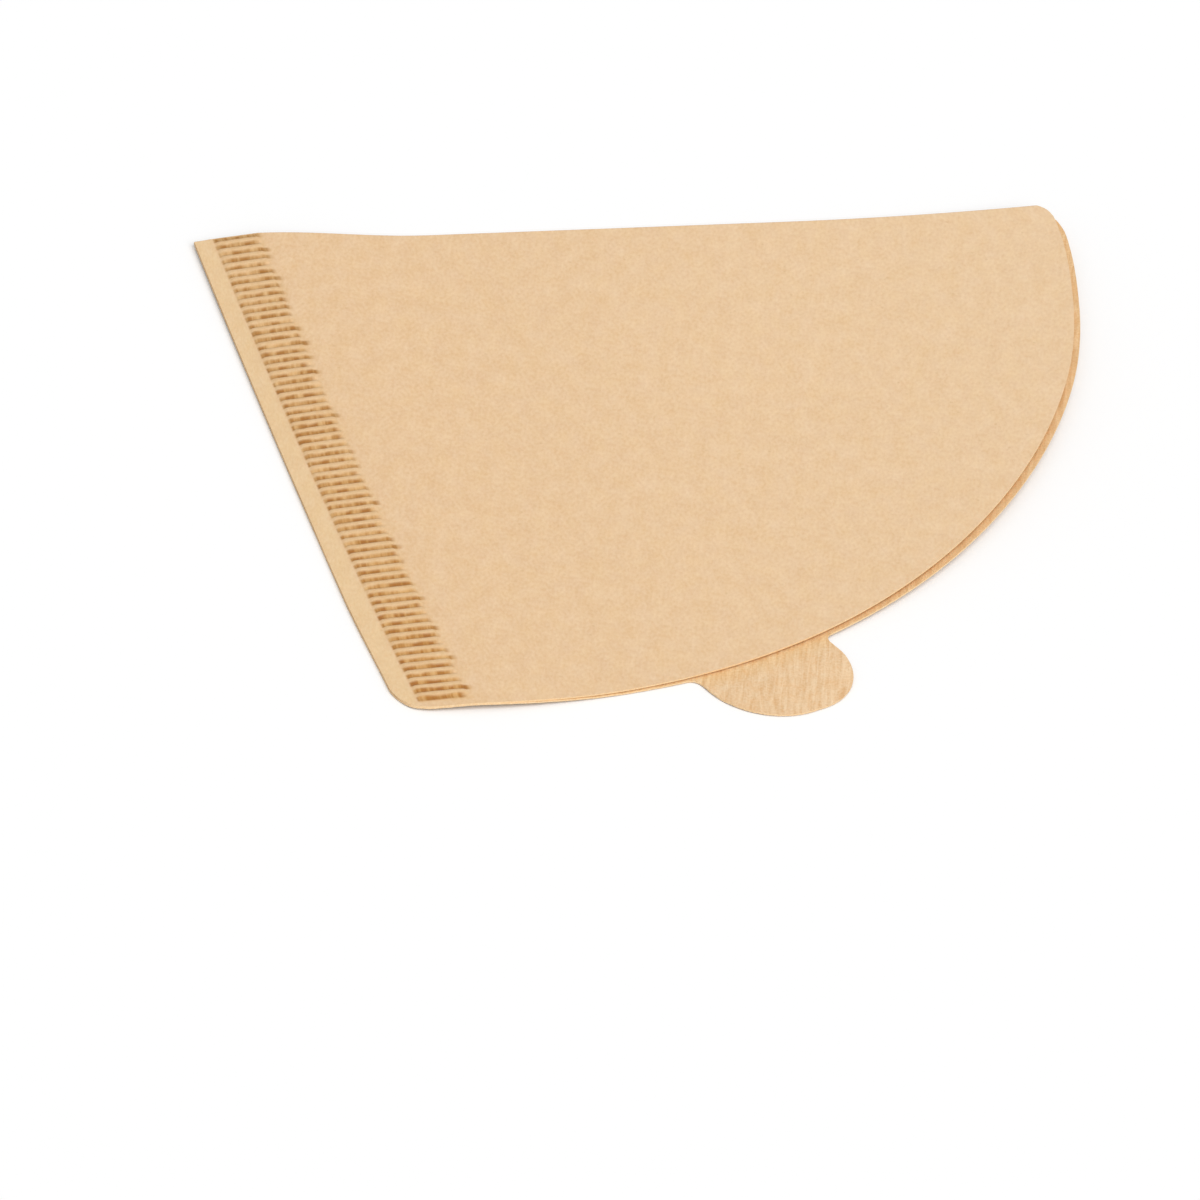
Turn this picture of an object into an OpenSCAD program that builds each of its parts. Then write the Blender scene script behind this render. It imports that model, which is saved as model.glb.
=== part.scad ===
// Cone coffee filter: one sheet of creped paper, folded in half to a quarter circle
// and closed along one straight side by a crimped seam. It lies flat on its under ply.
// Before it is centred, the tip of the cone is at the origin, the fold runs along +X
// and the seam along -Y. All sizes are in millimetres.

/* [Paper] */
// Thickness of one ply
ply_t = 0.22; // [0.12:0.01:0.4]

/* [Cone] */
// Radius of the curved rim, measured from the tip
rim_r = 113; // [80:1:160]
// Rounding of the corner where the fold meets the rim
fold_corner_r = 2.2; // [0.5:0.1:4]
// How far the under ply shows past the top ply, next to the fold
rim_step = 1; // [0:0.1:2]

/* [Mouth] */
// Clear height between the plies where the mouth stands widest open
mouth_gap = 0.9; // [0.6:0.1:3.2]
// Clear height inside the bend of the fold, at the rim
fold_gap = 0.5; // [0.2:0.05:1]
// Higher numbers bring the widest place of the mouth nearer to the fold
mouth_lean = 1.5; // [1.2:0.1:3]

/* [Crimped seam] */
// Width of the band of pressed ribs
crimp_w = 6.4; // [4:0.1:10]
// Distance from one rib to the next
rib_pitch = 1.75; // [1.4:0.01:3]
// Flat width at the bottom of each groove, between two ribs
groove_w = 0.5; // [0.3:0.05:0.7]
// Height of the ribs
rib_h = 0.24; // [0.1:0.02:0.34]
// Length of the slope at each end of a rib
rib_fade = 0.6; // [0.3:0.1:1.2]
// Distance from the fold to the middle of the first groove
crimp_start = 0.8; // [0.6:0.1:2]
// Least distance from the middle of the last groove to the rim
crimp_stop = 1.5; // [0.8:0.1:5]
// Width of the plain margin outside the band
margin_w = 3.5; // [2:0.1:8]
// Rounding of the corner where the margin meets the rim
seam_corner_r = 5.5; // [1:0.5:8]

/* [Pull tab] */
// Angle from the fold to the middle of the tab
tab_angle = 67; // [40:0.5:72]
// Width of the tab
tab_w = 22; // [20:0.5:26]
// Reach of the tab past the rim
tab_l = 13; // [10:0.5:18]
// Rounding of the two corners of the tab
tab_corner_r = 10; // [2:0.5:10]
// Rounding of the inner corners where the tab leaves the rim
tab_fillet_r = 1.5; // [0.5:0.1:4]

/* [Hidden] */

paper_colour = "#E8C79B";
quarter = 90;
half_turn = 180;
arc_fn = 240;
corner_fn = 48;
bend_steps = 6;
mouth_steps = 60;

// Lengths by which a shape runs past what it is cut from or sinks into what it joins
past_rim = 2;
past_cut = 1;
rib_sink = 0.02;
wide = 4 * rim_r;

seam_w = crimp_w + margin_w;
pair_t = 2 * ply_t;
fold_r = ply_t + fold_gap / 2;
rib_base_w = rib_pitch - groove_w;
rib_top_w = rib_base_w - 2 * rib_h;
rib_top_l = crimp_w - 2 * rib_fade;
rib_count = floor((rim_r - crimp_stop - crimp_start) / rib_pitch);

// The sheet is centred on its furthest points: the fold at the back, the corner of
// the tab at the front, the margin on the left and the under ply's rim on the right
tab_corner_out = rim_r + tab_l - tab_corner_r;
tab_corner_side = tab_w / 2 - tab_corner_r;
tab_front = tab_corner_out * sin(tab_angle) + tab_corner_side * cos(tab_angle) + tab_corner_r;
sheet_l = max(rim_r, tab_front);
rim_reach = rim_step + rim_r * cos(asin(fold_corner_r / (rim_r - fold_corner_r)));
centre = [(rim_reach - seam_w) / 2, -sheet_l / 2, 0];

// Height of the mouth along the rim, where u runs from 0 at the fold to 1 at the seam
widest_u = 1 / (1 + mouth_lean);
function hump(u) = u * pow(1 - u, mouth_lean);
function lift(u) = (mouth_gap - fold_gap * (1 - widest_u)) * hump(u) / hump(widest_u);
function gap(u) = fold_gap * (1 - u) + lift(u);

// A point of the flat under ply, and one of the top ply. Every line from the tip to the
// rim is straight, so the top ply is a cone and could be laid out flat again
function flat_point(r, u, z) = [r * cos(quarter * u), -ply_t - r * sin(quarter * u), z];
function cone_point(r, u, z) = flat_point(r, u, z + gap(u) * r / rim_r);

// Half-round section of the fold, from the under ply up to the top ply
function fold_section(x, radius, outer_r) = [
    for (k = [0 : bend_steps])
        let (turn = half_turn * k / bend_steps)
        [x, radius * sin(turn) - outer_r, outer_r - radius * cos(turn)]
];

// Rounds the corners of a flat shape that stand out
module round_out(r) {
    offset(r = r, $fn = corner_fn) offset(delta = -r) children();
}

// Rounds the corners of a flat shape that run in
module round_in(r) {
    offset(r = -r, $fn = corner_fn) offset(delta = r) children();
}

// Everything to the right of one line and in front of another
module right_of(x) { translate([x, -wide / 2]) square([wide, wide]); }
module in_front_of(y) { translate([-wide / 2, y - wide]) square([wide, wide]); }

// Outline of one folded ply: a quarter disc with the seam allowance beside it
module ply_outline() {
    intersection() {
        round_out(seam_corner_r)
            intersection() {
                circle(r = rim_r, $fn = arc_fn);
                right_of(-seam_w);
            }
        round_out(fold_corner_r)
            intersection() {
                circle(r = rim_r, $fn = arc_fn);
                in_front_of(0);
            }
    }
}

// Outline of the tab, from under the top ply to its rounded end
module tab_outline() {
    rotate(-tab_angle)
        hull() {
            translate([rim_r - tab_l, -tab_w / 2]) square([tab_l, tab_w]);
            for (side = [-1, 1])
                translate([tab_corner_out, side * tab_corner_side])
                    circle(r = tab_corner_r, $fn = corner_fn);
        }
}

// Under ply where it shows past the top ply, with the pull tab
module under_ply() {
    linear_extrude(ply_t)
        intersection() {
            round_in(tab_fillet_r) {
                translate([rim_step, 0])
                    intersection() {
                        ply_outline();
                        in_front_of(-fold_r);
                    }
                tab_outline();
            }
            right_of(0);
        }
}

// Both plies as one closed wedge, from the tip to just past the rim
module cone_wedge() {
    r = rim_r + past_rim;
    outer_r = ply_t + fold_gap / 2 * r / rim_r;
    tip = fold_section(0, ply_t, ply_t);
    fold = fold_section(r, outer_r, outer_r);
    top = [for (i = [1 : mouth_steps]) cone_point(r, i / mouth_steps, pair_t)];
    under = [for (i = [1 : mouth_steps]) flat_point(r, i / mouth_steps, 0)];
    bend = bend_steps;
    last = mouth_steps - 1;
    fold_at = len(tip);
    top_at = fold_at + len(fold);
    under_at = top_at + len(top);
    polyhedron(
        points = concat(tip, fold, top, under),
        faces = concat(
            [[0, for (i = [last : -1 : 0]) under_at + i, fold_at]],
            [[top_at + last, under_at + last, for (k = [0 : bend]) k]],
            [[for (k = [bend : -1 : 0]) fold_at + k]],
            [for (k = [0 : bend - 1]) [k, fold_at + k, fold_at + k + 1, k + 1]],
            [[bend, fold_at + bend, top_at]],
            [for (i = [0 : last - 1]) [bend, top_at + i, top_at + i + 1]],
            [[fold_at, under_at, top_at, fold_at + bend]],
            [for (i = [0 : last - 1]) [under_at + i, under_at + i + 1, top_at + i + 1, top_at + i]]
        )
    );
}

// The space between the plies, open at the rim and closed at the fold and the seam
module mouth_space() {
    r = rim_r + past_rim + past_cut;
    inner_r = fold_gap / 2 * r / rim_r;
    tip = [[0, -ply_t, ply_t]];
    fold = fold_section(r, inner_r, ply_t + inner_r);
    top = [for (i = [1 : mouth_steps - 1]) cone_point(r, i / mouth_steps, ply_t)];
    under = [for (i = [1 : mouth_steps]) flat_point(r, i / mouth_steps, ply_t)];
    bend = bend_steps;
    last = mouth_steps - 2;
    fold_at = len(tip);
    top_at = fold_at + len(fold);
    under_at = top_at + len(top);
    seam = under_at + last + 1;
    polyhedron(
        points = concat(tip, fold, top, under),
        faces = concat(
            [[0, for (i = [last + 1 : -1 : 0]) under_at + i, fold_at]],
            [[for (k = [bend : -1 : 0]) fold_at + k]],
            [for (k = [0 : bend - 1]) [0, fold_at + k, fold_at + k + 1]],
            [[0, fold_at + bend, top_at]],
            [for (i = [0 : last - 1]) [0, top_at + i, top_at + i + 1]],
            [[0, top_at + last, seam]],
            [[fold_at, under_at, top_at, fold_at + bend]],
            [for (i = [0 : last - 1]) [under_at + i, under_at + i + 1, top_at + i + 1, top_at + i]],
            [[under_at + last, seam, top_at + last]]
        )
    );
}

// Both plies pressed flat beside the cone, with the rounded edge of the fold
module flat_pair() {
    rotate([quarter, 0, -quarter])
        linear_extrude(seam_w)
            union() {
                translate([ply_t, 0]) square([rim_r, pair_t]);
                translate([ply_t, ply_t]) circle(r = ply_t, $fn = corner_fn);
            }
}

// One pressed rib, with sloped sides and ends
module rib() {
    linear_extrude(rib_h, scale = [rib_top_l / crimp_w, rib_top_w / rib_base_w])
        square([crimp_w, rib_base_w], center = true);
}

// The row of ribs, from the fold to the rim
module rib_row() {
    for (i = [0 : rib_count - 1])
        translate([-crimp_w / 2, -crimp_start - rib_pitch * (i + 1 / 2)]) rib();
}

// The whole folded sheet. Each rib stands up from the top ply, and the under ply
// is hollow below it, as one wheel pressed them both
module paper_filter() {
    color(paper_colour)
        translate(-centre)
            difference() {
                union() {
                    intersection() {
                        union() {
                            difference() {
                                cone_wedge();
                                mouth_space();
                            }
                            flat_pair();
                        }
                        linear_extrude(rim_r) ply_outline();
                    }
                    under_ply();
                    translate([0, 0, pair_t - rib_sink]) rib_row();
                }
                rib_row();
            }
}

paper_filter();
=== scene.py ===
import math

import bmesh
import bpy
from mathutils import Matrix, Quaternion, Vector, noise


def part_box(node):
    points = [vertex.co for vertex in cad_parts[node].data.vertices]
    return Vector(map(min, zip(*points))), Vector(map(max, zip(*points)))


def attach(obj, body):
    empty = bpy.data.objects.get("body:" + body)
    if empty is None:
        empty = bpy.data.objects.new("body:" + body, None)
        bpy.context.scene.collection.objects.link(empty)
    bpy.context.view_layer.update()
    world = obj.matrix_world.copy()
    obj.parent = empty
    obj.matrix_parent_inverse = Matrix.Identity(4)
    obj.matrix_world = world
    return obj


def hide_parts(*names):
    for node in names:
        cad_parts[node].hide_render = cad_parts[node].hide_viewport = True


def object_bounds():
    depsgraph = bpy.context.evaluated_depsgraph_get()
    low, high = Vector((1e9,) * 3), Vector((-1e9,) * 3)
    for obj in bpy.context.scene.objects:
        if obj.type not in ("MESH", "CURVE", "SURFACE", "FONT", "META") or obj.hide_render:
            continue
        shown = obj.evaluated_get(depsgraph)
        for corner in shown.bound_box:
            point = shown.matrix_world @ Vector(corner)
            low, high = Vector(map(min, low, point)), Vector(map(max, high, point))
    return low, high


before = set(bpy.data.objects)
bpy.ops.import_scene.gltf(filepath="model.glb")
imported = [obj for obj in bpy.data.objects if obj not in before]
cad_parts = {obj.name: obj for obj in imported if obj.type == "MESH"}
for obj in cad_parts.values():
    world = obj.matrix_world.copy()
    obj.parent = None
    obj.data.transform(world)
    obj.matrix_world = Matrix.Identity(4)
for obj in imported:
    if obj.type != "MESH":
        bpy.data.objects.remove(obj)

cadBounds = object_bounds()
mm = 0.001
quarter = math.pi / 2
scene = bpy.context.scene
scene.view_settings.view_transform = "Standard"


def linearColour(hexCode):
    # sRGB hex to the linear values that Blender's sockets take
    parts = [int(hexCode[i:i + 2], 16) / 255 for i in (1, 3, 5)]
    return [c / 12.92 if c <= 0.04045 else ((c + 0.055) / 1.055) ** 2.4 for c in parts] + [1.0]


def addNode(tree, kind, settings):
    # a name that the node itself has is a setting, any other name or number is an input
    node = tree.nodes.new("ShaderNode" + kind)
    for name, value in settings.items():
        if isinstance(value, bpy.types.NodeSocket):
            tree.links.new(node.inputs[name], value)
        elif isinstance(name, str) and hasattr(node, name):
            setattr(node, name, value)
        else:
            node.inputs[name].default_value = value
    return node


def maths(tree, operation, *values):
    return addNode(tree, "Math", {"operation": operation, **dict(enumerate(values))}).outputs[0]


def ramp(tree, value, ends, low=0.0, high=1.0, kind="LINEAR"):
    # low up to the first of the two ends, high from the second one on
    return addNode(tree, "MapRange", {"interpolation_type": kind, "Value": value, "From Min": ends[0],
                                      "From Max": ends[1], "To Min": low, "To Max": high}).outputs[0]


def mixed(tree, part, first, second, blend="MIX"):
    # each of the two colours is a hex code or comes from a node
    colours = [linearColour(c) if isinstance(c, str) else c for c in (first, second)]
    return addNode(tree, "Mix", {"data_type": "RGBA", "blend_type": blend, 0: part,
                                 6: colours[0], 7: colours[1]}).outputs[2]


def noiseAt(tree, place, size, detail, roughness=0.5):
    return addNode(tree, "TexNoise", {"Vector": place, "Scale": 1 / size, "Detail": detail,
                                      "Roughness": roughness}).outputs["Fac"]


def emptyMaterial(name):
    material = bpy.data.materials.new(name)
    material.use_nodes = True
    material.node_tree.nodes.clear()
    return material, material.node_tree


def smoothStep(value, start, end):
    t = min(max((value - start) / (end - start), 0.0), 1.0)
    return t * t * (3 - 2 * t)


def directionTo(azimuth, elevation):
    # azimuth 0 is in front of the sheet, 90 on its right
    turn, rise = math.radians(azimuth), math.radians(elevation)
    return Vector((math.sin(turn) * math.cos(rise), -math.cos(turn) * math.cos(rise), math.sin(rise)))


# Camera: a long lens from the front left, tipped a little, as in the photograph
shot = {
    "target": (-26.24, -29.64, 0.0),  # mm, what the middle of the picture shows
    "azimuth": -19.99,
    "elevation": 33.36,
    "tilt": 9.15,  # how far the camera's right side is raised
    "distance": 5427.0,
    "lens": 1200.0,
    "sensor": 36.0,
    "clip": (0.1, 30.0),  # m
}


def makeCamera():
    away = directionTo(shot["azimuth"], shot["elevation"])
    data = bpy.data.cameras.new("photoCamera")
    data.lens = shot["lens"]
    data.sensor_width = shot["sensor"]
    data.clip_start, data.clip_end = shot["clip"]
    camera = bpy.data.objects.new("photoCamera", data)
    camera.location = (Vector(shot["target"]) + away * shot["distance"]) * mm
    tilt = Quaternion((0, 0, 1), math.radians(shot["tilt"]))
    camera.rotation_euler = ((-away).to_track_quat("-Z", "Y") @ tilt).to_euler()
    scene.collection.objects.link(camera)
    scene.camera = camera
    print("camera: looks along", [round(a, 3) for a in -away])


# Light: half from a white room, half from a large soft lamp at the front
light = {
    "room": 0.49,
    "lamp": 2.1,
    "lampWidth": 60.0,  # degrees across, as seen from the paper
    "lampAzimuth": 12.0,
    "lampElevation": 50.0,
}


def seenByCamera(tree):
    # 1 for what the camera sees, also by reflection or through glass, 0 for what lights the paper
    rays = addNode(tree, "LightPath", {}).outputs
    seen = maths(tree, "MAXIMUM", rays["Is Camera Ray"], rays["Is Glossy Ray"])
    return maths(tree, "MAXIMUM", seen, rays["Is Transmission Ray"])


def makeLight():
    lamp = bpy.data.lights.new("softLamp", "SUN")
    lamp.energy = light["lamp"]
    lamp.angle = math.radians(light["lampWidth"])
    lampObject = bpy.data.objects.new("softLamp", lamp)
    towards = directionTo(light["lampAzimuth"], light["lampElevation"])
    lampObject.rotation_euler = towards.to_track_quat("Z", "Y").to_euler()
    scene.collection.objects.link(lampObject)

    world = bpy.data.worlds.new("whiteRoom")
    scene.world = world
    world.use_nodes = True
    tree = world.node_tree
    tree.nodes.clear()
    strength = addNode(tree, "Mix", {0: seenByCamera(tree), 2: light["room"], 3: 1.0})
    room = addNode(tree, "Background", {"Color": (1, 1, 1, 1), "Strength": strength.outputs[0]})
    addNode(tree, "OutputWorld", {"Surface": room.outputs[0]})
    print("light: one soft lamp and a white room")


# Floor: matt white card, seen as pure white with the paper's soft shadow on it
card = {
    "size": 12.0,  # m
    "drop": 0.05,  # mm below the paper, so that the two never share a plane
    "colour": "#E6E6E6",  # what it throws back onto the paper
    "seen": "#FFFFFF",
}


def makeFloor():
    mesh = bpy.data.meshes.new("floor")
    bm = bmesh.new()
    bmesh.ops.create_grid(bm, x_segments=1, y_segments=1, size=card["size"] / 2)
    bmesh.ops.translate(bm, verts=bm.verts, vec=(0, 0, cadBounds[0][2] - card["drop"] * mm))
    bm.to_mesh(mesh)
    bm.free()
    floor = bpy.data.objects.new("floor", mesh)
    scene.collection.objects.link(floor)
    material, tree = emptyMaterial("matt white card")
    white = mixed(tree, seenByCamera(tree), card["colour"], card["seen"])
    matt = addNode(tree, "BsdfDiffuse", {"Color": white})
    addNode(tree, "OutputMaterial", {"Surface": matt.outputs[0]})
    mesh.materials.append(material)
    print("floor: white card")


# The sheet, in mm. It is drawn and cut flat, with the tip of the cone at 0, 0 and the
# fold along X. The half above the fold becomes the top ply, the half below it the under ply
sheet = {
    "thickness": 0.22,
    "rimRadius": 113.0,
    "foldCorner": 2.2,
    "rimStep": 1.0,  # how far the under ply shows past the top one
    "stepTurn": 4.0,  # degrees from the fold over which it gets that far
    "bandWidth": 6.4,
    "marginWidth": 3.5,
    "seamCorner": 5.5,
    "tabAngle": 67.0,
    "tabWidth": 22.0,
    "tabReach": 13.0,
    "tabCorner": 10.0,
    "tabFillet": 1.5,
    "mouthGap": 0.9,
    "foldGap": 0.5,
    "mouthLean": 1.5,
    "pitch": 1.75,
    "firstGroove": 0.8,
    "grooves": 64,
    "ribHeight": 0.24,
    "grooveFloor": 0.12,  # half the width of a groove at its bottom
    "grooveTop": 0.5,  # and at the top of its slopes
    "ribFade": 0.6,
    "ribOverrun": 0.1,  # how far the ribs run on past the band's right end
}
# How finely the sheet is drawn and cut, in mm
cells = {
    "rim": 1.2,
    "corner": 0.25,
    "plain": 1.5,
    "crepe": 0.25,
    "crepeUnder": 4.0,  # how far the crepe's cells go on under the top ply
    "crepeBeside": 2.0,
    "ribEnd": 0.2,  # first column beside each end of the ribs
    "ribGrowth": 1.35,  # and how much wider each next one is
    "bandEnd": 1.6,  # where the columns of the band stop, to the right of it
    "tipBend": 0.043,  # rows in the bend of the fold, as far as it reaches at the tip
    "rimBend": 0.08,  # and from there as far as it reaches at the rim
    "pastBend": 0.1,  # first row beside it
    "weld": 0.001,  # points nearer to each other than that become one
    "onCut": 0.0005,  # points nearer to a cut than that lie on it
    "sharpAngle": 65.0,  # degrees
}
# What handling and the crimping did to this one sheet, in mm. Some of it depends on the way
# round the rim, which runs from 0 at the fold to 1 at the seam
wear = {
    "springAtTip": 1.5,  # how high the crimped seam makes the sheet stand off what it lies on
    "springHalfway": 1.25,
    "springAtRim": 0.75,
    "springReach": 25.0,
    "tipLift": 0.3,  # how high the cut edge of the margin stands at the tip
    "curlHeight": 1.85,  # the rim curls up next to the fold, as paper does
    "curlStart": 70.0,
    "curlTurn": 22.0,  # degrees between the fold and the way that it curls
    "droopStart": 1.0,  # how far past the rim the tab starts to come down again
    "droopReach": 11.0,
    "droopPower": 1.5,
    "waveHeight": 0.08,
    "waveLength": 24.0,
    "underWave": 0.35,  # the under ply's waves, as a share of the top one's
    "looseGap": 0.5,  # waves are at their full where the plies are that far apart
    "looseFromSeam": 8.0,
    "looseFromFold": (1.0, 9.0),
    "bandBow": 0.65,  # how far the crimping wheel strays from its line, halfway along
    "bowRise": 3.0,
    "bowFade": 12.0,
    "bandFlare": 1.2,  # how much longer its lines get towards the rim
    "flareFrom": 1.0,
    "flareFade": 14.0,
    "edgeStray": 1.0,  # how much the cutter takes off the margin, at the tip
    "edgePower": 2.5,
    "cornerDraw": 0.8,  # and at the rim
    "cornerStart": 0.75,  # share of the way from the tip where that starts
    "foldCut": 0.2,  # how much it takes off the rim at the fold
    "foldCutEnd": 0.02,
    "foldStray": 0.5,  # and leaves on it next to the fold
    "foldStrayEnd": 0.14,
    "rimStray": 0.25,  # how far it strays along the rest of the rim
    "rimWave": (0.55, 10.0),  # way at which that is nothing, and radians of its wave in a whole way
    "rimReach": (0.15, 0.3, 0.8, 0.95),
    "rimDepth": 0.6,  # share of the radius from which the sheet is stretched with its rim
    "marginGap": 0.1,  # the two plies part a little along the cut edge of the margin
    "marginStart": 0.3,  # from the band's left end
    "marginUneven": 0.3,
    "marginWave": 12.0,
    "crepeDepth": 0.08,
    "crepeRaise": 0.8,  # how much of it stands up from the paper
    "crepeWidth": 0.55,
    "crepeLength": 7.0,
    "crepeTurn": -18.0,  # degrees between the crepe and the seam
    "crepeReach": (-3.0, 1.0),  # past the rim
    "crepeFiner": 2.1,
}
seamWidth = sheet["bandWidth"] + sheet["marginWidth"]
bendAtTip = sheet["thickness"] / 2  # radius of the fold at the middle of the paper
bendAtRim = bendAtTip + sheet["foldGap"] / 2
# length of paper that the bend takes up on each side, less what it gives back in width
bendLoss = sheet["thickness"] - bendAtTip * quarter


def drawLine(bm, vert, end):
    made = bmesh.ops.extrude_vert_indiv(bm, verts=[vert])["verts"][0]
    made.co = (end[0], end[1], 0)
    return made


def drawArc(bm, vert, centre, turn, segment):
    length = (vert.co - Vector((*centre, 0))).length * abs(turn)
    made = bmesh.ops.spin(bm, geom=[vert], cent=(*centre, 0), axis=(0, 0, 1), angle=turn,
                          steps=max(4, round(length / segment)))
    return [part for part in made["geom_last"] if isinstance(part, bmesh.types.BMVert)][0]


def drawTopPly(bm):
    # from the fold's end round the rim and both seam corners, to the under ply's rim
    s = sheet
    radius, fine, coarse = s["rimRadius"], cells["corner"], cells["rim"]
    foldX = math.sqrt((radius - s["foldCorner"]) ** 2 - s["foldCorner"] ** 2)
    foldTurn = math.atan2(s["foldCorner"], foldX)
    seamX = s["seamCorner"] - seamWidth
    seamY = math.sqrt((radius - s["seamCorner"]) ** 2 - seamX ** 2)
    seamTurn = math.atan2(seamY, seamX)

    vert = bm.verts.new((foldX, 0, 0))
    vert = drawArc(bm, vert, (foldX, s["foldCorner"]), quarter + foldTurn, fine)
    vert = drawArc(bm, vert, (0, 0), seamTurn - foldTurn, coarse)
    vert = drawArc(bm, vert, (seamX, seamY), math.pi - seamTurn, fine)
    vert = drawLine(bm, vert, (-seamWidth, -seamY))
    vert = drawArc(bm, vert, (seamX, -seamY), math.pi - seamTurn, fine)
    return drawArc(bm, vert, (0, 0), seamTurn - quarter, coarse), foldX


def drawUnderPly(bm, vert, foldX):
    # its rim is stepped to the right, but meets the top ply's at the fold
    s = sheet
    radius, fine, coarse = s["rimRadius"], cells["corner"], cells["rim"]
    step = Vector((s["rimStep"], 0))
    tabTurn = math.radians(s["tabAngle"])
    out = Vector((math.cos(tabTurn), -math.sin(tabTurn)))
    side = Vector((math.sin(tabTurn), math.cos(tabTurn)))
    half, fillet = s["tabWidth"] / 2, s["tabFillet"]
    cornerOut = radius + s["tabReach"] - s["tabCorner"]
    cornerSide = half - s["tabCorner"]

    # fillets, where the two sides of the tab leave the rim
    reaches, centres, angles, turns = [], [], [], []
    for sign in (-1, 1):
        across = sign * (half + fillet) - step.dot(side)
        reach = step.dot(out) + math.sqrt((radius + fillet) ** 2 - across ** 2)
        centre = out * reach + side * sign * (half + fillet)
        reaches.append(reach)
        centres.append(centre)
        angles.append(math.atan2(centre.y - step.y, centre.x - step.x))
        turns.append(-math.acos(abs(across) / (radius + fillet)))

    rimAngle = math.atan2(vert.co.y - step.y, vert.co.x - step.x)
    vert = drawArc(bm, vert, step, angles[0] - rimAngle, coarse)
    vert = drawArc(bm, vert, centres[0], turns[0], fine)
    vert = drawLine(bm, vert, out * cornerOut - side * half)
    vert = drawArc(bm, vert, out * cornerOut - side * cornerSide, quarter, fine)
    vert = drawLine(bm, vert, out * (cornerOut + s["tabCorner"]) + side * cornerSide)
    vert = drawArc(bm, vert, out * cornerOut + side * cornerSide, quarter, fine)
    vert = drawLine(bm, vert, out * reaches[1] + side * half)
    vert = drawArc(bm, vert, centres[1], turns[1], fine)

    # an arc from the stepped rim to the corner at the fold, touching both
    corner = Vector((foldX, -s["foldCorner"]))
    blendTurn = math.radians(s["stepTurn"])
    blendWay = Vector((math.cos(blendTurn), -math.sin(blendTurn)))
    apart = step + blendWay * radius - corner
    blendRadius = apart.length_squared - s["foldCorner"] ** 2
    blendRadius /= 2 * (apart.dot(blendWay) - s["foldCorner"])
    blendCentre = step + blendWay * (radius - blendRadius)
    cornerTurn = math.atan2(corner.y - blendCentre.y, corner.x - blendCentre.x)
    vert = drawArc(bm, vert, step, -blendTurn - angles[1], coarse)
    vert = drawArc(bm, vert, blendCentre, blendTurn + cornerTurn, coarse)
    drawArc(bm, vert, corner, quarter - cornerTurn, fine)


def drawOutline(bm):
    # once round the flat sheet, against the clock
    vert, foldX = drawTopPly(bm)
    drawUnderPly(bm, vert, foldX)
    bmesh.ops.remove_doubles(bm, verts=bm.verts, dist=cells["weld"])
    bmesh.ops.edgeloop_fill(bm, edges=bm.edges)


def cut(bm, spots, axis, keep):
    # straight cuts across the faces that keep() picks
    normal = Vector((1, 0, 0)) if axis == 0 else Vector((0, 1, 0))
    faces = [f for f in bm.faces if keep(f.calc_center_bounds())]
    for spot in spots:
        edges = {e for f in faces for e in f.edges}
        verts = {v for e in edges for v in e.verts}
        made = bmesh.ops.bisect_plane(bm, geom=[*faces, *edges, *verts], dist=cells["onCut"],
                                      plane_co=normal * spot, plane_no=normal)
        faces = [g for g in made["geom"] if isinstance(g, bmesh.types.BMFace)]


def spread(start, end, step):
    count = max(1, round((end - start) / step))
    return [start + (end - start) * i / count for i in range(count + 1)]


def growing(reach):
    # distances from the end of the ribs, close together next to it
    step = cells["ribEnd"]
    made = [step]
    while made[-1] + step * cells["ribGrowth"] < reach:
        step *= cells["ribGrowth"]
        made.append(made[-1] + step)
    return made


def cutColumns(bm):
    s, bandEnd = sheet, cells["bandEnd"]
    leftEnd = -s["bandWidth"]
    columns = [leftEnd, 0.0, bandEnd]
    columns += [leftEnd - step for step in growing(s["marginWidth"])]
    columns += [leftEnd + step for step in growing(s["bandWidth"] / 2)]
    columns += [-step for step in growing(s["bandWidth"] / 2)]
    columns += growing(bandEnd)
    cut(bm, sorted(columns), 0, lambda c: True)
    cut(bm, spread(bandEnd, s["rimRadius"], cells["plain"])[1:-1], 0, lambda c: c.x > bandEnd)


def cutRows(bm, sign):
    s, pitch = sheet, sheet["pitch"]
    tipBend, rimBend = bendAtTip * quarter, bendAtRim * quarter
    bend = spread(0, tipBend, cells["tipBend"])[1:] + spread(tipBend, rimBend, cells["rimBend"])[1:]
    bend.append(rimBend + cells["pastBend"])
    inHalf = lambda c: c.y * sign > 0
    cut(bm, [sign * v for v in bend], 1, inHalf)
    # a row along the top of each rib, and between two of them the groove's own section
    grooves = [s["firstGroove"] - bendLoss + pitch * i for i in range(s["grooves"])]
    cut(bm, [sign * (v + pitch / 2) for v in grooves], 1, inHalf)
    for middle in grooves:
        inCell = lambda c: c.x < cells["bandEnd"] and abs(c.y * sign - middle) < pitch / 2
        section = spread(middle - s["grooveTop"], middle + s["grooveTop"], s["grooveTop"] / 3)
        cut(bm, [sign * v for v in section], 1, inCell)


def cutTab(bm):
    # the tab is creped across its width
    s = sheet
    tabTurn = math.radians(s["tabAngle"])
    out = Vector((math.cos(tabTurn), -math.sin(tabTurn), 0))
    low = s["rimRadius"] - cells["crepeUnder"]
    high = s["tabWidth"] / 2 + cells["crepeBeside"]
    inTab = lambda c: c.y < 0 and c.dot(out) > low and abs(c.x * out.y - c.y * out.x) < high
    middle = out.x * (s["rimRadius"] + s["tabReach"] / 2)
    reach = s["tabWidth"] / 2 + cells["crepeUnder"]
    cut(bm, spread(middle - reach, middle + reach, cells["crepe"]), 0, inTab)


def cutSheet(bm):
    cut(bm, [0.0], 1, lambda c: True)
    cutColumns(bm)
    for sign in (1, -1):
        print("sheet: cuts the grooves of the", "top ply" if sign > 0 else "under ply")
        cutRows(bm, sign)
    cutTab(bm)


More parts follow.
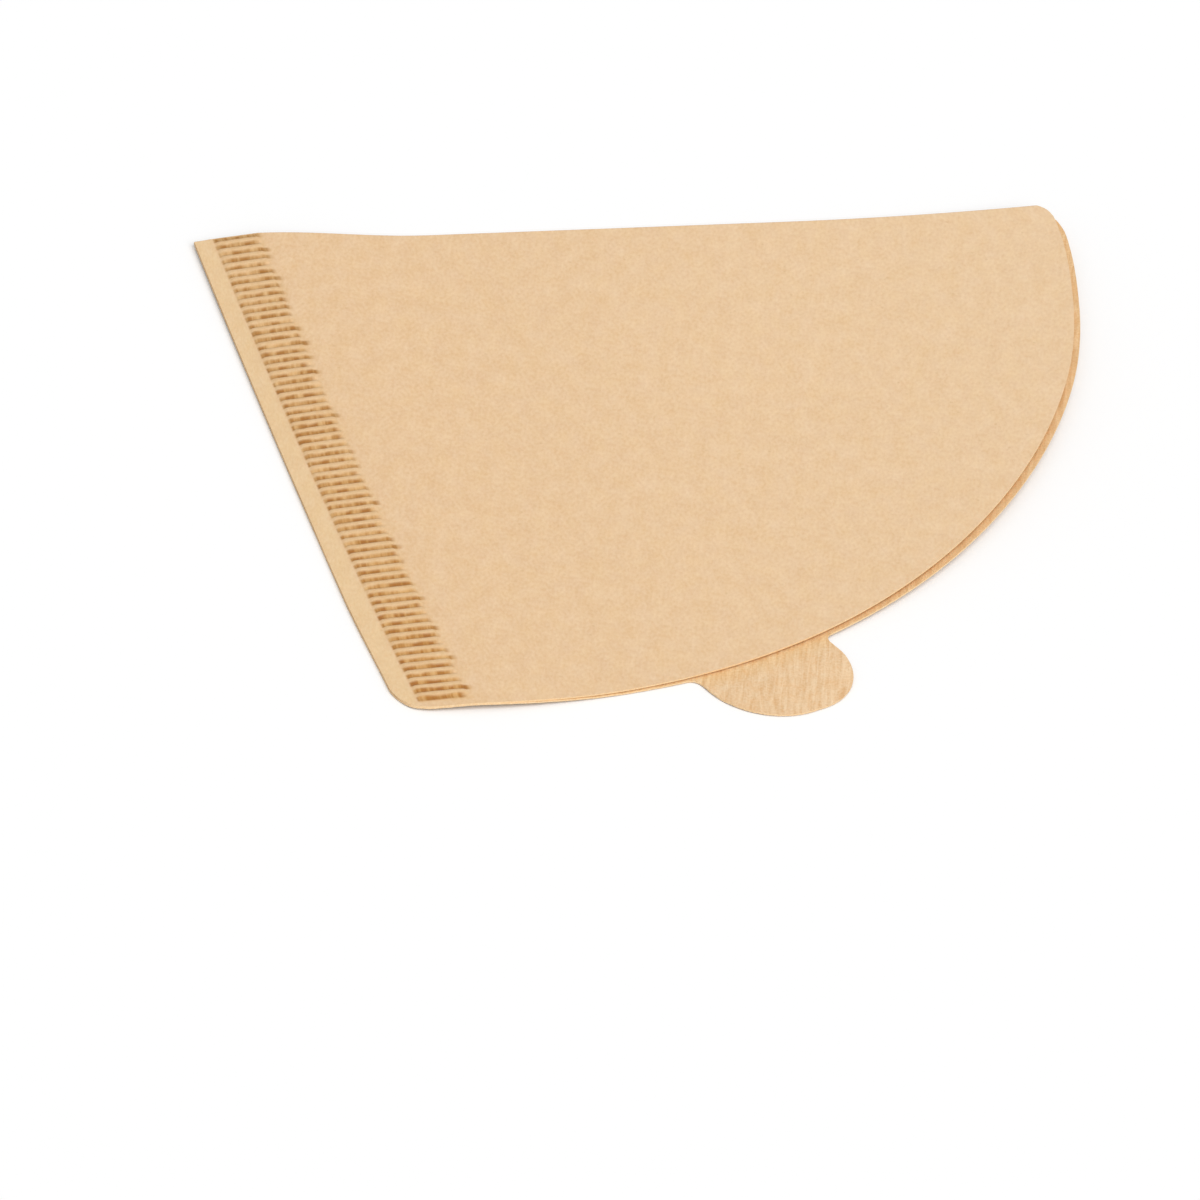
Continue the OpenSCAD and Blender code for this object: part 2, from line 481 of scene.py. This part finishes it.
def plateau(value, rise, full, fall, end):
    # 0 outside its two ends, 1 between full and fall
    return smoothStep(value, rise, full) * (1 - smoothStep(value, fall, end))


def strayed(x, v):
    # the band and the cut edge of the margin aren't quite straight
    w = wear
    t = min(abs(v) / sheet["rimRadius"], 1)
    x -= w["bandBow"] * 4 * t * (1 - t) * plateau(x, -seamWidth, w["bowRise"] - seamWidth, 0, w["bowFade"])
    flared = plateau(x, -seamWidth, w["flareFrom"], w["flareFrom"], w["flareFade"])
    x += w["bandFlare"] * t ** 3 * flared
    atEdge = 1 - smoothStep(x, -seamWidth, -sheet["bandWidth"])
    inward = w["edgeStray"] * (1 - t) ** w["edgePower"]
    inward += w["cornerDraw"] * smoothStep(t, w["cornerStart"], 1)
    return x + inward * atEdge


def rimStray(way, away):
    # the rim isn't quite a circle
    w = wear
    outward = (w["foldStray"] + w["foldCut"]) * smoothStep(way, 0, w["foldCutEnd"]) - w["foldCut"]
    outward *= 1 - smoothStep(way, w["foldCutEnd"], w["foldStrayEnd"])
    wave = math.sin(w["rimWave"][1] * (way - w["rimWave"][0]))
    outward += w["rimStray"] * wave * plateau(way, *w["rimReach"])
    return outward * smoothStep(away, w["rimDepth"] * sheet["rimRadius"], sheet["rimRadius"])


def mouthGap(way, away):
    # clear height between the plies
    s = sheet
    widest = 1 / (1 + s["mouthLean"])
    hump = way * (1 - way) ** s["mouthLean"] / (widest * (1 - widest) ** s["mouthLean"])
    opened = (s["mouthGap"] - s["foldGap"] * (1 - widest)) * hump
    return (s["foldGap"] * (1 - way) + opened) * away / s["rimRadius"]


def ribLift(x, v):
    # ribs, pressed up through both plies
    s = sheet
    along = (abs(v) - s["firstGroove"] + bendLoss) / s["pitch"]
    if not 0 < along < s["grooves"] - 1:
        return 0
    near = abs(along - round(along)) * s["pitch"]
    ends = smoothStep(-x, -s["ribOverrun"], s["ribFade"])
    ends *= smoothStep(x, -s["bandWidth"], s["ribFade"] - s["bandWidth"])
    return s["ribHeight"] * smoothStep(near, s["grooveFloor"], s["grooveTop"]) * ends


def springLift(x, y):
    # the stiff seam lifts the sheet beside it, most at the tip
    w = wear
    t = min(max(-y / sheet["rimRadius"], 0), 1)
    height = w["springAtTip"] * (1 - t) * (1 - 2 * t) + w["springHalfway"] * 4 * t * (1 - t)
    height += w["springAtRim"] * t * (2 * t - 1)
    if x < 0:
        return height * (x + seamWidth) / seamWidth - w["tipLift"] * (1 - t) ** 3 * x / seamWidth
    if x < w["springReach"]:
        return height * (0.5 + 0.5 * math.cos(math.pi * x / w["springReach"]))
    return 0


def curlLift(x, y, away, top):
    # the rim curls up, and the tab droops back to the table
    w, radius = wear, sheet["rimRadius"]
    turn = math.radians(w["curlTurn"])
    curled = x * math.cos(turn) - y * math.sin(turn) - w["curlStart"]
    rise = w["curlHeight"] * (max(0, curled) / (radius - w["curlStart"])) ** 2
    if not top:
        reach = min(max(0, away - radius - w["droopStart"]) / w["droopReach"], 1)
        rise *= 1 - reach ** w["droopPower"]
    return rise


def crepeLift(x, v, away):
    # the tab shows the crepe of the paper's inner side
    w, radius = wear, sheet["rimRadius"]
    turn = math.radians(w["crepeTurn"])
    across = x * math.cos(turn) + v * math.sin(turn)
    along = v * math.cos(turn) - x * math.sin(turn)
    place = Vector((across / w["crepeWidth"], along / w["crepeLength"], 2))
    ridges = noise.noise(place) + 0.5 * noise.noise(place * w["crepeFiner"])
    shown = smoothStep(away, radius + w["crepeReach"][0], radius + w["crepeReach"][1])
    return shown * w["crepeDepth"] * (ridges + w["crepeRaise"])


def foldedPoint(x, v):
    # where a point of the flat sheet lies once the sheet is folded, opened a little and crimped
    w, thick = wear, sheet["thickness"]
    bend = bendAtTip + (bendAtRim - bendAtTip) * max(x, 0) / sheet["rimRadius"]
    outer = bend + thick / 2
    top = v > 0
    inBend = abs(v) < bend * quarter
    if inBend:
        turn = v / bend + quarter
        y, z = bend * math.sin(turn) - outer, outer - bend * math.cos(turn)
    else:
        y, z = bend * quarter - outer - abs(v), thick / 2

    away = math.hypot(max(x, 0), y)
    way = min(max(math.atan2(-y - thick, x) / quarter, 0), 1) if x > 0 else 1
    gap = mouthGap(way, away)
    loose = min(1, gap / w["looseGap"]) * smoothStep(x, 0, w["looseFromSeam"])
    loose *= smoothStep(-y, *w["looseFromFold"])
    wave = w["waveHeight"] * noise.noise(Vector((x, v, 7)) / w["waveLength"])
    if top and not inBend:
        z = thick * 1.5 + gap + wave * loose
        part = 1 + w["marginUneven"] * (noise.noise(Vector((3, v, 0)) / w["marginWave"]) - 1)
        z += w["marginGap"] * part * smoothStep(-x, sheet["bandWidth"] + w["marginStart"], seamWidth)
    elif not top:
        z += w["underWave"] * (wave + w["waveHeight"]) * loose + crepeLift(x, v, away)
    z += ribLift(x, v) + springLift(x, y) + curlLift(x, y, away, top)
    outward = rimStray(way, away)
    return strayed(x, v) + outward * math.cos(way * quarter), y - outward * math.sin(way * quarter), z


def makeSheet(materials):
    bm = bmesh.new()
    drawOutline(bm)
    print("sheet: outline of", len(bm.verts), "points")
    cutSheet(bm)
    print("sheet: cut into", len(bm.faces), "faces")
    flat = bm.loops.layers.uv.new("flatSheet")
    for face in bm.faces:
        face.smooth = True
        for loop in face.loops:
            loop[flat].uv = loop.vert.co.xy
    # seen from above the flat sheet shows its inner side, so it is turned over
    for face in bm.faces:
        face.normal_update()
        if face.normal.z > 0:
            face.normal_flip()
    low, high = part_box("paper_filter")
    tip = Vector((low[0] + seamWidth * mm, high[1], low[2]))
    for vert in bm.verts:
        vert.co = tip + Vector(foldedPoint(vert.co.x, vert.co.y)) * mm
    mesh = bpy.data.meshes.new("filterSheet")
    bm.to_mesh(mesh)
    bm.free()
    piece = bpy.data.objects.new("filterSheet", mesh)
    scene.collection.objects.link(piece)
    for material in materials:
        mesh.materials.append(material)

    thickness = piece.modifiers.new("thickness", "SOLIDIFY")
    thickness.thickness = sheet["thickness"] * mm
    thickness.offset = 0
    thickness.material_offset = 1
    thickness.material_offset_rim = 2
    bpy.context.view_layer.update()
    evaluated = piece.evaluated_get(bpy.context.evaluated_depsgraph_get())
    solid = bpy.data.meshes.new_from_object(evaluated)
    solid.name = "filterSheet"
    piece.modifiers.clear()
    piece.data = solid
    bpy.data.meshes.remove(mesh)
    solid.set_sharp_from_angle(angle=math.radians(cells["sharpAngle"]))
    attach(piece, "root")
    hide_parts("paper_filter")
    print("sheet: folded, with", sum(len(p.vertices) - 2 for p in solid.polygons), "triangles")


# What both sides of the paper share
paper = {
    "ior": 1.47,
    "glow": "#E8A050",  # the little light that comes through the thin paper
    "glowPart": 0.1,
    "noiseRange": (0.3, 0.7),  # what most of a noise texture lies between
    "patchSize": 2.6,
    "patchRoughness": 0.6,
}


def finishPaper(tree, colour, height, settings):
    bump = addNode(tree, "Bump", {"Distance": settings["reliefDepth"] * mm, "Height": height})
    front = addNode(tree, "BsdfPrincipled", {"Base Color": colour, "Normal": bump.outputs[0],
                                             "Roughness": settings["roughness"], "IOR": paper["ior"]})
    through = addNode(tree, "BsdfTranslucent", {"Color": linearColour(paper["glow"])})
    shader = addNode(tree, "MixShader", {0: paper["glowPart"], 1: front.outputs[0], 2: through.outputs[0]})
    addNode(tree, "OutputMaterial", {"Surface": shader.outputs[0]})


def patchedPaper(tree, place, fibres, settings):
    # dark to light with the fibres, and patches of them that took the colour more deeply
    tone = ramp(tree, fibres, settings["toneRange"])
    plain = mixed(tree, tone, settings["dark"], settings["light"])
    patches = noiseAt(tree, place, paper["patchSize"], 3.0, paper["patchRoughness"])
    return mixed(tree, ramp(tree, patches, paper["noiseRange"]), plain, settings["patch"], "MULTIPLY")


# Unbleached kraft filter paper, pressed smooth on its outer side: a matt warm tan that is faintly
# cloudy from the fibres, with a few darker shives. Sizes are in mm of the flat sheet
outerPaper = {
    "light": "#F9DBB5",
    "dark": "#EAC59A",
    "toneRange": (0.8, 1.84),  # of the noise, from dark to light
    "patch": "#FFFDF5",
    "cloudSize": 2.2,
    "cloudStretch": 1.8,  # clouds are that much longer along the paper's grain
    "grainTurn": 20.0,  # degrees between the paper's grain and the seam
    "grainSize": 0.45,
    "grainPart": 1.3,
    "paintedLightToRim": 0.0034,  # painted light: the paper is painted paler for each mm from the seam, a gradient of light across the sheet
    "margin": "#FEE6A8",  # mixed into the margin, which the wheel didn't scorch
    "marginPart": 0.17,
    "marginFade": (0.2, -0.6),  # from the band's left end, where that starts and where it is full
    "shive": "#C9A06C",
    "shivePart": 0.22,
    "shiveSpacing": 3.0,
    "shiveFade": (0.1, 0.03),  # from its middle, in units of the spacing
    "creaseWidth": 0.5,  # traces of the crepe that the press left
    "creaseLength": 5.0,
    "creasePart": 0.6,
    "reliefDepth": 0.03,
    "roughness": 0.88,
}


def smoothGround(tree, uv, flatX):
    # the plain pressed paper: its colour and its relief
    p = outerPaper
    turn = math.radians(p["grainTurn"])
    along = addNode(tree, "Mapping", {"vector_type": "TEXTURE", "Rotation": (0, 0, turn),
                                      "Scale": (1, p["cloudStretch"], 1), "Vector": uv}).outputs[0]
    clouds = noiseAt(tree, along, p["cloudSize"], 3.0)
    grain = noiseAt(tree, along, p["grainSize"], 1.0)
    fibres = maths(tree, "MULTIPLY_ADD", grain, p["grainPart"], clouds)
    # painted light: a rise in tone towards the rim, as if the far side of the sheet were lit more brightly
    fibres = maths(tree, "MULTIPLY_ADD", flatX, p["paintedLightToRim"], fibres)
    ground = patchedPaper(tree, along, fibres, p)

    fade = [away - sheet["bandWidth"] for away in p["marginFade"]]
    inMargin = ramp(tree, flatX, fade, high=p["marginPart"])
    ground = mixed(tree, inMargin, ground, p["margin"])
    shives = addNode(tree, "TexVoronoi", {"Scale": 1 / p["shiveSpacing"], "Vector": uv})
    fleck = ramp(tree, shives.outputs["Distance"], p["shiveFade"], high=p["shivePart"])
    ground = mixed(tree, fleck, ground, p["shive"])

    space = addNode(tree, "Mapping", {"Scale": (1 / p["creaseWidth"], 1 / p["creaseLength"], 1),
                                      "Vector": uv}).outputs[0]
    creases = noiseAt(tree, space, 1.0, 2.0)
    return ground, maths(tree, "MULTIPLY_ADD", creases, p["creasePart"], grain)


# The crimped band: lines along its grooves that the hot wheel burnt brown, and scorched ribs
crimpedPaper = {
    "rib": "#E4BA7C",
    "ribPart": 0.3,
    "ribFade": (1.2, -0.6),  # from the band's right end
    "light": "#CCA264",  # lines
    "dark": "#A26A22",
    "darkRange": (0.32, 0.62),  # of the blotches, from light to dark
    "front": "#FFEA94",  # multiplied in towards the rim, where the lines are burnt a little deeper
    "faint": 0.42,  # how much of the paper the lines hide where they are faint
    "strong": 0.9,
    "strongRange": (0.3, 0.55),
    "half": 0.46,  # half a line's width
    "uneven": 0.15,  # share by which that varies
    "soft": 0.44,  # width of a line's soft edge
    "wobble": 0.3,
    "wobblesPerMm": (0.5, 0.6, 1),
    "shortest": -1.1,  # right end of the shortest line
    "endStray": 1.6,  # how much further the longest one goes
    "rightFade": (0.9, -0.3),
    "leftFade": (-0.15, 0.25),  # from the band's left end
    "blotchLength": 1.25,
    "blotchRoughness": 0.6,
    "nextBlotch": 3.7,  # step through the noise from one line to the next
    "widthSlower": 0.6,  # widths change that much more slowly along a line than blotches
}


def nearestLine(tree, uv, flatY):
    # number of the nearest groove's line, and the distance to it in mm
    s, p = sheet, crimpedPaper
    fromFold = maths(tree, "ABSOLUTE", flatY)
    space = addNode(tree, "Mapping", {"Scale": p["wobblesPerMm"], "Vector": uv}).outputs[0]
    wobbled = maths(tree, "MULTIPLY_ADD", noiseAt(tree, space, 1.0, 2.0), p["wobble"], fromFold)
    start = bendLoss - s["firstGroove"] - p["wobble"] / 2
    count = maths(tree, "MULTIPLY_ADD", wobbled, 1 / s["pitch"], start / s["pitch"])
    number = maths(tree, "ROUND", count)
    off = maths(tree, "ABSOLUTE", maths(tree, "SUBTRACT", count, number))
    return number, maths(tree, "MULTIPLY", off, s["pitch"]), fromFold


def allOf(tree, parts):
    product = parts[0]
    for part in parts[1:]:
        product = maths(tree, "MULTIPLY", product, part)
    return product


def crimpedBand(tree, uv, flatX, flatY, ground):
    s, p = sheet, crimpedPaper
    number, off, fromFold = nearestLine(tree, uv, flatY)
    space = addNode(tree, "CombineXYZ", {"X": flatX, "Y": number}).outputs[0]
    space = addNode(tree, "VectorMath", {"operation": "MULTIPLY", 0: space,
                                         1: (1 / p["blotchLength"], p["nextBlotch"], 1)}).outputs[0]
    blotch = noiseAt(tree, space, 1.0, 3.0, p["blotchRoughness"])
    slower = addNode(tree, "VectorMath", {"operation": "MULTIPLY", 0: space, 1: (p["widthSlower"], 1, 1)})
    width = ramp(tree, noiseAt(tree, slower.outputs[0], 1.0, 1.0), paper["noiseRange"],
                 p["half"] * (1 - p["uneven"]), p["half"] * (1 + p["uneven"]))
    inside = maths(tree, "SUBTRACT", width, off)
    line = ramp(tree, inside, (-p["soft"] / 2, p["soft"] / 2), kind="SMOOTHSTEP")

    # each line ends where the wheel lifted off, a little differently on the right
    chance = addNode(tree, "TexWhiteNoise", {"noise_dimensions": "1D", "W": number})
    rightEnd = maths(tree, "MULTIPLY_ADD", chance.outputs["Value"], p["endStray"], p["shortest"])
    right = ramp(tree, maths(tree, "SUBTRACT", flatX, rightEnd), p["rightFade"], kind="SMOOTHSTEP")
    fade = [away - s["bandWidth"] for away in p["leftFade"]]
    left = ramp(tree, flatX, fade, kind="SMOOTHSTEP")
    # and there are none before the first groove or past the last one
    notPast = maths(tree, "LESS_THAN", number, s["grooves"] - 0.5)
    notBefore = maths(tree, "GREATER_THAN", number, -0.5)
    strength = ramp(tree, blotch, p["strongRange"], p["faint"], p["strong"])
    burnt = allOf(tree, [line, right, left, notPast, notBefore, strength])

    brown = mixed(tree, ramp(tree, blotch, p["darkRange"]), p["light"], p["dark"])
    forward = maths(tree, "DIVIDE", fromFold, s["rimRadius"])
    brown = mixed(tree, forward, brown, p["front"], "MULTIPLY")
    inBand = allOf(tree, [ramp(tree, flatX, p["ribFade"], kind="SMOOTHSTEP"), left, notPast, notBefore])
    ribs = mixed(tree, maths(tree, "MULTIPLY", inBand, p["ribPart"]), ground, p["rib"])
    return mixed(tree, burnt, ribs, brown)


def makeOuterPaper():
    material, tree = emptyMaterial("kraft filter paper pressed smooth")
    uv = addNode(tree, "UVMap", {"uv_map": "flatSheet"}).outputs[0]
    flat = addNode(tree, "SeparateXYZ", {0: uv}).outputs
    ground, relief = smoothGround(tree, uv, flat["X"])
    colour = crimpedBand(tree, uv, flat["X"], flat["Y"], ground)
    finishPaper(tree, colour, relief, outerPaper)
    print("paper: outer side")
    return material


# The same paper on its inner side: creped, so fine uneven ridges run along it, not far from
# parallel to the seam
innerPaper = {
    "light": "#FFE5C0",
    "dark": "#E6BF8F",
    "toneRange": (0.53, 1.06),
    "patch": "#FCF1E3",
    "between": "#FFF8E4",  # multiplied in where the plies shade each other
    "shadeEnd": 3.5,  # past the rim
    "shadeFull": -0.5,
    "ridgeWidth": 0.5,
    "ridgeLength": 5.5,
    "ridgeRoughness": 0.6,
    "ridgeBend": 0.5,
    "grainSize": 0.3846,
    "grainPart": 0.6,
    "reliefDepth": 0.075,
    "roughness": 0.92,
}


def makeInnerPaper():
    p, radius = innerPaper, sheet["rimRadius"]
    material, tree = emptyMaterial("kraft filter paper creped")
    uv = addNode(tree, "UVMap", {"uv_map": "flatSheet"}).outputs[0]
    turn = math.radians(wear["crepeTurn"])
    space = addNode(tree, "Mapping", {"vector_type": "TEXTURE", "Rotation": (0, 0, turn),
                                      "Scale": (p["ridgeWidth"], p["ridgeLength"], 1), "Vector": uv})
    ridges = addNode(tree, "TexNoise", {"Vector": space.outputs[0], "Scale": 1.0, "Detail": 3.0,
                                        "Roughness": p["ridgeRoughness"], "Distortion": p["ridgeBend"]})
    grain = noiseAt(tree, uv, p["grainSize"], 2.0)
    fibres = maths(tree, "MULTIPLY_ADD", grain, p["grainPart"], ridges.outputs["Fac"])
    colour = patchedPaper(tree, uv, fibres, p)
    away = addNode(tree, "VectorMath", {"operation": "LENGTH", 0: uv}).outputs["Value"]
    shaded = ramp(tree, away, (radius + p["shadeEnd"], radius + p["shadeFull"]))
    colour = mixed(tree, shaded, colour, p["between"], "MULTIPLY")
    finishPaper(tree, colour, fibres, p)
    print("paper: inner side")
    return material


# The die-cut edge of the paper: open fibres, a little deeper in colour and uneven
cutEdge = {
    "light": "#F9DAAF",
    "dark": "#ECC592",
    "fibreSize": 0.25,
    "roughness": 0.95,
}


def makeCutEdge():
    p = cutEdge
    material, tree = emptyMaterial("kraft filter paper die cut")
    place = addNode(tree, "TexCoord", {}).outputs["Object"]
    fibres = noiseAt(tree, place, p["fibreSize"] * mm, 3.0)
    colour = mixed(tree, ramp(tree, fibres, paper["noiseRange"]), p["dark"], p["light"])
    shader = addNode(tree, "BsdfPrincipled", {"Base Color": colour, "Roughness": p["roughness"],
                                              "IOR": paper["ior"]})
    addNode(tree, "OutputMaterial", {"Surface": shader.outputs[0]})
    print("paper: cut edge")
    return material


makeCamera()
makeLight()
makeFloor()
makeSheet([makeOuterPaper(), makeInnerPaper(), makeCutEdge()])
